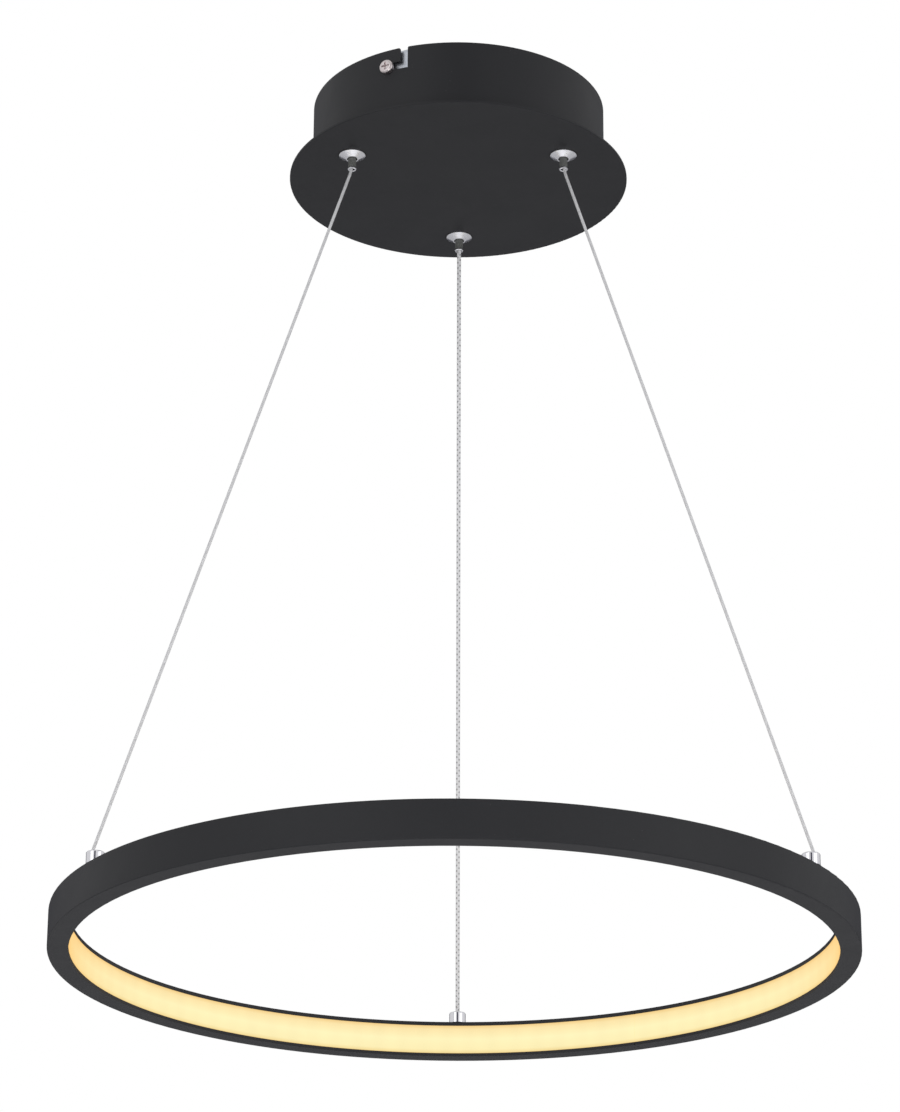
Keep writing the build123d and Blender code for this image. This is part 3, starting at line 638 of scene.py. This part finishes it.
# ---- Leads inside the canopy ----
def lead_radius(angle, distance):
    """Soft insulation, very slightly uneven."""
    return LEAD_D / 2 * (0.98 + 0.02 * math.cos(3 * angle + 2000 * distance))


def stub_radius(angle, distance):
    """The thicker insulation of the input leads, a little more uneven."""
    return INPUT_LEAD_D / 2 * (0.97 + 0.03 * math.cos(2 * angle + 900 * distance))


for side, sign in (("left", -1), ("right", 1)):
    foot = Vector((*GRIPPER_AXIS[side], LEAD_FOOT_Z))
    rise = Vector((*GRIPPER_AXIS[side], LEAD_TOP_Z))
    landing = Vector((sign * LEAD_LANDING[0], *LEAD_LANDING[1:]))
    turn = Vector((landing.x, landing.y, LEAD_TOP_Z))
    inward = (turn - rise).normalized() * LEAD_BEND
    route = route_points(f"lead_{side}", [foot, rise, rise + inward, turn - inward, turn, landing])
    path, path_places = spaced(route, LEAD_STEP)
    mesh = tube(f"lead_{side}", path, path_places, lead_radius, LEAD_SIDES)
    mesh.materials.append(red_lead)
    piece = new_object(f"lead_wire_{side}", mesh)
    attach(piece, "canopy")
    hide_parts(f"output_lead_{side}")

input_low, input_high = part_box("input_leads")
stubs = []
for x in (input_low[0] + INPUT_LEAD_D / 2, input_high[0] - INPUT_LEAD_D / 2):
    line = np.array([(x, y, INPUT_LEAD_Z)
                     for y in np.linspace(input_low[1], input_high[1], STUB_POINTS)])
    stubs.append(tube("stub", line, line[:, 1] - input_low[1], stub_radius, STUB_SIDES))
mesh = joined("lead_wires_in", stubs)
mesh.materials.append(red_lead)
piece = new_object("lead_wires_in", mesh)
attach(piece, "canopy")
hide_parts("input_leads")


# ---- Repeated small parts, by Geometry Nodes ----
def make_copies_tree(name, settings, layout):
    """Geometry Nodes that copy the object's own mesh, make the copies real and give them one
    material. layout gives each copy's place, and its turn or None, from the settings and the
    copy's index."""
    tree = bpy.data.node_groups.new(name, "GeometryNodeTree")
    sockets = {}
    for label, kind in (("Geometry", "NodeSocketGeometry"), ("Count", "NodeSocketInt"),
                        *settings, ("Material", "NodeSocketMaterial")):
        item = tree.interface.new_socket(label, in_out="INPUT", socket_type=kind)
        sockets[label] = item.identifier
    tree.interface.new_socket("Geometry", in_out="OUTPUT", socket_type="NodeSocketGeometry")
    inside = tree.nodes.new("NodeGroupInput").outputs
    outside = tree.nodes.new("NodeGroupOutput").inputs
    place, turn = layout(tree, inside, tree.nodes.new("GeometryNodeInputIndex").outputs[0])
    points = tree.nodes.new("GeometryNodePoints")
    tree.links.new(inside["Count"], points.inputs["Count"])
    tree.links.new(place, points.inputs["Position"])
    copies = tree.nodes.new("GeometryNodeInstanceOnPoints")
    tree.links.new(points.outputs[0], copies.inputs["Points"])
    tree.links.new(inside["Geometry"], copies.inputs["Instance"])
    if turn is not None:
        tree.links.new(turn, copies.inputs["Rotation"])
    real = tree.nodes.new("GeometryNodeRealizeInstances")
    tree.links.new(copies.outputs[0], real.inputs[0])
    paint = tree.nodes.new("GeometryNodeSetMaterial")
    tree.links.new(real.outputs[0], paint.inputs["Geometry"])
    tree.links.new(inside["Material"], paint.inputs["Material"])
    tree.links.new(paint.outputs[0], outside[0])
    return tree, sockets


def polar_layout(tree, inside, index):
    """Round the Z axis, each copy turned with its place."""
    angle = math_node(tree, "ADD", math_node(tree, "MULTIPLY", index, inside["Step"]),
                      inside["Start"])
    place = tree.nodes.new("ShaderNodeCombineXYZ")
    for axis, operation in (("X", "COSINE"), ("Y", "SINE")):
        away = math_node(tree, "MULTIPLY", math_node(tree, operation, angle), inside["Radius"])
        tree.links.new(away, place.inputs[axis])
    tree.links.new(inside["Height"], place.inputs["Z"])
    spin = tree.nodes.new("ShaderNodeCombineXYZ")
    tree.links.new(angle, spin.inputs["Z"])
    return place.outputs[0], spin.outputs[0]


def row_layout(tree, inside, index):
    """In a straight row."""
    move = add(tree, "ShaderNodeVectorMath", operation="SCALE")
    tree.links.new(inside["Step"], move.inputs[0])
    tree.links.new(index, move.inputs["Scale"])
    place = add(tree, "ShaderNodeVectorMath", operation="ADD")
    tree.links.new(move.outputs[0], place.inputs[0])
    tree.links.new(inside["Start"], place.inputs[1])
    return place.outputs[0], None


def bevelled_boxes(name, boxes, bevel):
    """One mesh of several bevelled boxes, each given as (centre, size)."""
    shape = bmesh.new()
    for centre, size in boxes:
        made = bmesh.ops.create_cube(shape, size=1.0)["verts"]
        bmesh.ops.scale(shape, vec=size, verts=made)
        bmesh.ops.translate(shape, vec=centre, verts=made)
    bmesh.ops.bevel(shape, geom=shape.edges[:], offset=bevel, segments=2, affect="EDGES")
    mesh = bpy.data.meshes.new(name)
    shape.to_mesh(mesh)
    shape.free()
    return mesh


def repeated(name, mesh, copies, body, slot, **values):
    """Run a copies tree, with its settings by name, over a mesh and keep the plain result as a
    finished piece."""
    tree, sockets = copies
    maker = new_object(f"{name}_maker", mesh)
    modifier = maker.modifiers.new("copies", "NODES")
    modifier.node_group = tree
    for label, value in values.items():
        modifier[sockets[label]] = value
    view = bpy.context.evaluated_depsgraph_get()
    view.update()
    result = bpy.data.meshes.new_from_object(maker.evaluated_get(view), depsgraph=view)
    remove_object(maker)
    piece = new_object(name, result)
    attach(piece, body)


POLAR = make_copies_tree("PolarCopies", [("Radius", FLOAT), ("Start", FLOAT), ("Step", FLOAT),
                                         ("Height", FLOAT)], polar_layout)
ROW = make_copies_tree("RowCopies", [("Start", VECTOR), ("Step", VECTOR)], row_layout)

phosphor = coat("phosphor", (0.80, 0.52, 0.06), (0.90, 0.64, 0.12), 0.0002, 0.2, 0.35, 0.0)
solder = metal("solder", (0.66, 0.66, 0.68), (0.46, 0.46, 0.48), (900, 900, 900), 0.4, 0.3, 0.3)
resistor_black = coat("resistor_black", (0.015, 0.015, 0.016), (0.03, 0.03, 0.032),
                      0.0003, 0.2, 0.3, 0.0)
chip_step = STRIP_SPAN / CHIP_COUNT
first_chip = STRIP_START + chip_step / 2

lens = bevelled_boxes("lens", [((0, 0, 0), (0.0002, 0.0023, 0.0021)),
                               ((-0.00007, 0, 0), (0.0002, 0.0018, 0.0016))], 0.00008)
repeated("led_lenses", lens, POLAR, "ring", "led", Count=CHIP_COUNT, Radius=CHIP_FACE_R,
         Start=first_chip, Step=chip_step, Height=STRIP_Z, Material=phosphor)
ends = bevelled_boxes("chip_ends", [((0, -0.0016, 0), (0.0005, 0.0003, 0.0016)),
                                    ((0, 0.0016, 0), (0.0005, 0.0003, 0.0016))], 0.00006)
repeated("led_solder", ends, POLAR, "ring", "strip_board", Count=CHIP_COUNT,
         Radius=STRIP_FACE_R - SOLDER_RISE, Start=first_chip, Step=chip_step,
         Height=STRIP_Z, Material=solder)
resistor = bevelled_boxes("resistor", [((0, 0, 0), (0.0005, 0.0012, 0.0020))], 0.00008)
repeated("strip_resistors", resistor, POLAR, "ring", "strip_board",
         Count=CHIP_COUNT // CHIPS_PER_CUT, Radius=STRIP_FACE_R - RESISTOR_RISE,
         Start=first_chip + (CHIPS_PER_CUT / 2 - 0.5) * chip_step, Step=CHIPS_PER_CUT * chip_step,
         Height=STRIP_Z, Material=resistor_black)
pads = bevelled_boxes("cut_pads", [
    ((0, side * 0.0011, height), (0.0001, 0.0014, 0.0014))
    for side in (-1, 1) for height in (-0.0024, 0.0024)], 0.00004)
repeated("strip_pads", pads, POLAR, "ring", "strip_board",
         Count=CHIP_COUNT // CHIPS_PER_CUT - 1, Radius=STRIP_FACE_R - PAD_RISE,
         Start=first_chip + (CHIPS_PER_CUT - 0.5) * chip_step, Step=CHIPS_PER_CUT * chip_step,
         Height=STRIP_Z, Material=brass)

board_resistor = bevelled_boxes("board_resistor", [((0, 0, 0.0003), (0.0016, 0.0008, 0.0006)),
                                                   ((0, 0, 0.00035), (0.0011, 0.0009, 0.0006))],
                                0.00008)
repeated("board_resistors", board_resistor, ROW, "canopy", "circuit_board", Count=9,
         Start=(-0.0180, DRIVER_Y - 0.0120, BOARD_TOP_Z), Step=(0.0042, 0.0, 0.0),
         Material=resistor_black)
board_pin = bevelled_boxes("board_pin", [((0, 0, 0.0008), (0.0008, 0.0008, 0.0016)),
                                         ((0, 0, 0.0003), (0.0014, 0.0014, 0.0005))], 0.0001)
repeated("board_pins", board_pin, ROW, "canopy", "circuit_board", Count=6,
         Start=(0.0140, DRIVER_Y + 0.0120, BOARD_TOP_Z), Step=(0.0035, 0.0, 0.0),
         Material=solder)

# ---- Floor, world and light ----
FLOOR_Z = -1.35
FLOOR_REACH = 6
floor_mesh = bpy.data.meshes.new("studio_floor")
floor_mesh.from_pydata([(x * FLOOR_REACH, y * FLOOR_REACH, FLOOR_Z)
                        for x, y in ((-1, -1), (1, -1), (1, 1), (-1, 1))], [], [(0, 1, 2, 3)])
floor = new_object("studio_floor", floor_mesh)
floor_material, floor_tree, floor_shader = new_material("floor_paper")
floor_noise = add(floor_tree, "ShaderNodeTexNoise", Scale=3.0, Detail=4.0)
floor_colour = mix_colour(floor_tree, floor_noise.outputs["Fac"],
                          (0.70, 0.70, 0.71, 1), (0.78, 0.78, 0.79, 1))
floor_tree.links.new(floor_colour, floor_shader.inputs["Base Color"])
floor_shader.inputs["Roughness"].default_value = 0.9
floor_mesh.materials.append(floor_material)

world = bpy.data.worlds.new("studio_world")
bpy.context.scene.world = world
world.use_nodes = True
sky = world.node_tree
sky.nodes.clear()
sky_out = add(sky, "ShaderNodeOutputWorld")
sky_place = add(sky, "ShaderNodeTexCoord")
sky_way = split_xyz(sky, sky_place.outputs["Generated"])
sky_height = math_node(sky, "MULTIPLY_ADD", sky_way["Z"], 0.5, 0.5)
sky_tone = ramp(sky, sky_height, [
    (0.0, (0.42, 0.42, 0.43)), (0.35, (0.50, 0.50, 0.51)), (0.55, (0.60, 0.60, 0.61)),
    (1.0, (0.62, 0.62, 0.62)),
])
# Light and dark cards round the light, by the turn away from its front (0 to 1, alike on both
# sides). They are full up to CARD_TOP above and below its level and fade out to the poles.
CARD_TOP = 0.3
sky_front = math_node(sky, "MULTIPLY", sky_way["Y"], -1.0)
sky_turn = math_node(sky, "ARCTAN2", sky_way["X"], sky_front)
sky_turn = math_node(sky, "DIVIDE", math_node(sky, "ABSOLUTE", sky_turn), math.pi)
sky_cards = ramp(sky, sky_turn, [
    (0.0, (0.02, 0.02, 0.05)), (0.035, (0.04, 0.04, 0.07)), (0.06, (1.0, 1.0, 1.0)),
    (0.22, (1.0, 1.0, 1.0)), (0.25, (0.12, 0.12, 0.15)), (0.29, (0.12, 0.12, 0.15)),
    (0.33, (1.0, 1.0, 1.0)), (0.72, (1.0, 1.0, 1.0)), (0.82, (0.08, 0.08, 0.11)),
    (1.0, (0.08, 0.08, 0.1)),
])
sky_level = math_node(sky, "SUBTRACT", math_node(sky, "ABSOLUTE", sky_way["Z"]), CARD_TOP)
sky_level = math_node(sky, "DIVIDE", math_node(sky, "MAXIMUM", sky_level, 0.0), 1 - CARD_TOP)
sky_colour = mix_colour(sky, sky_level, sky_cards, (1, 1, 1, 1))
sky_colour = mix_colour(sky, 1.0, sky_colour, sky_tone, "MULTIPLY")
sky_light = add(sky, "ShaderNodeBackground", Strength=1.15)
sky.links.new(sky_colour, sky_light.inputs["Color"])
sky_white = add(sky, "ShaderNodeBackground", Color=(1, 1, 1, 1), Strength=1.0)
sky_mix = add(sky, "ShaderNodeMixShader")
sky_path = add(sky, "ShaderNodeLightPath")
sky.links.new(sky_path.outputs["Is Camera Ray"], sky_mix.inputs[0])
sky.links.new(sky_light.outputs[0], sky_mix.inputs[1])
sky.links.new(sky_white.outputs[0], sky_mix.inputs[2])
sky.links.new(sky_mix.outputs[0], sky_out.inputs["Surface"])


def area_light(name, place, target, width, depth, energy):
    """A soft rectangular light aimed at a point."""
    data = bpy.data.lights.new(name, "AREA")
    data.shape = "RECTANGLE"
    data.size = width
    data.size_y = depth
    data.energy = energy
    light = bpy.data.objects.new(name, data)
    light.location = place
    direction = Vector(target) - Vector(place)
    light.rotation_euler = direction.to_track_quat("-Z", "Y").to_euler()
    bpy.context.scene.collection.objects.link(light)


area_light("key", (-1.4, -1.6, 0.4), (0, 0, -0.25), 1.2, 1.2, 4.5)
area_light("fill", (1.6, -1.2, -0.2), (0, 0, -0.25), 1.4, 1.4, 5.4)
area_light("under", (0, -0.12, -1.32), (0, -0.12, 0), 2.6, 0.7, 3.2)
area_light("front", (0, -0.9, -0.6), (0, -0.19, -0.44), 0.6, 0.3, 1.3)

# ---- Camera: fitted to the photograph's ring and canopy edges ----
CAMERA_PLACE = (0.01671, -1.72130, -0.93014)
PITCH, YAW, ROLL = 0.37934, -0.01151, 0.00578
FOCAL_PX, PICTURE_HEIGHT_PX = 3796.9, 1112
forward = Vector((math.sin(YAW) * math.cos(PITCH), math.cos(YAW) * math.cos(PITCH),
                  math.sin(PITCH)))
level_right = Vector((math.cos(YAW), -math.sin(YAW), 0))
level_up = level_right.cross(forward)
right = math.cos(ROLL) * level_right + math.sin(ROLL) * level_up
up = math.cos(ROLL) * level_up - math.sin(ROLL) * level_right
camera_data = bpy.data.cameras.new("photo_camera")
camera_data.sensor_fit = "VERTICAL"
camera_data.lens = FOCAL_PX * camera_data.sensor_height / PICTURE_HEIGHT_PX
camera_data.clip_start = 0.05
camera = bpy.data.objects.new("photo_camera", camera_data)
turn_matrix = Matrix((right, up, -forward)).transposed().to_4x4()
camera.matrix_world = Matrix.Translation(CAMERA_PLACE) @ turn_matrix
bpy.context.scene.collection.objects.link(camera)
bpy.context.scene.camera = camera
bpy.context.scene.view_settings.view_transform = "Standard"
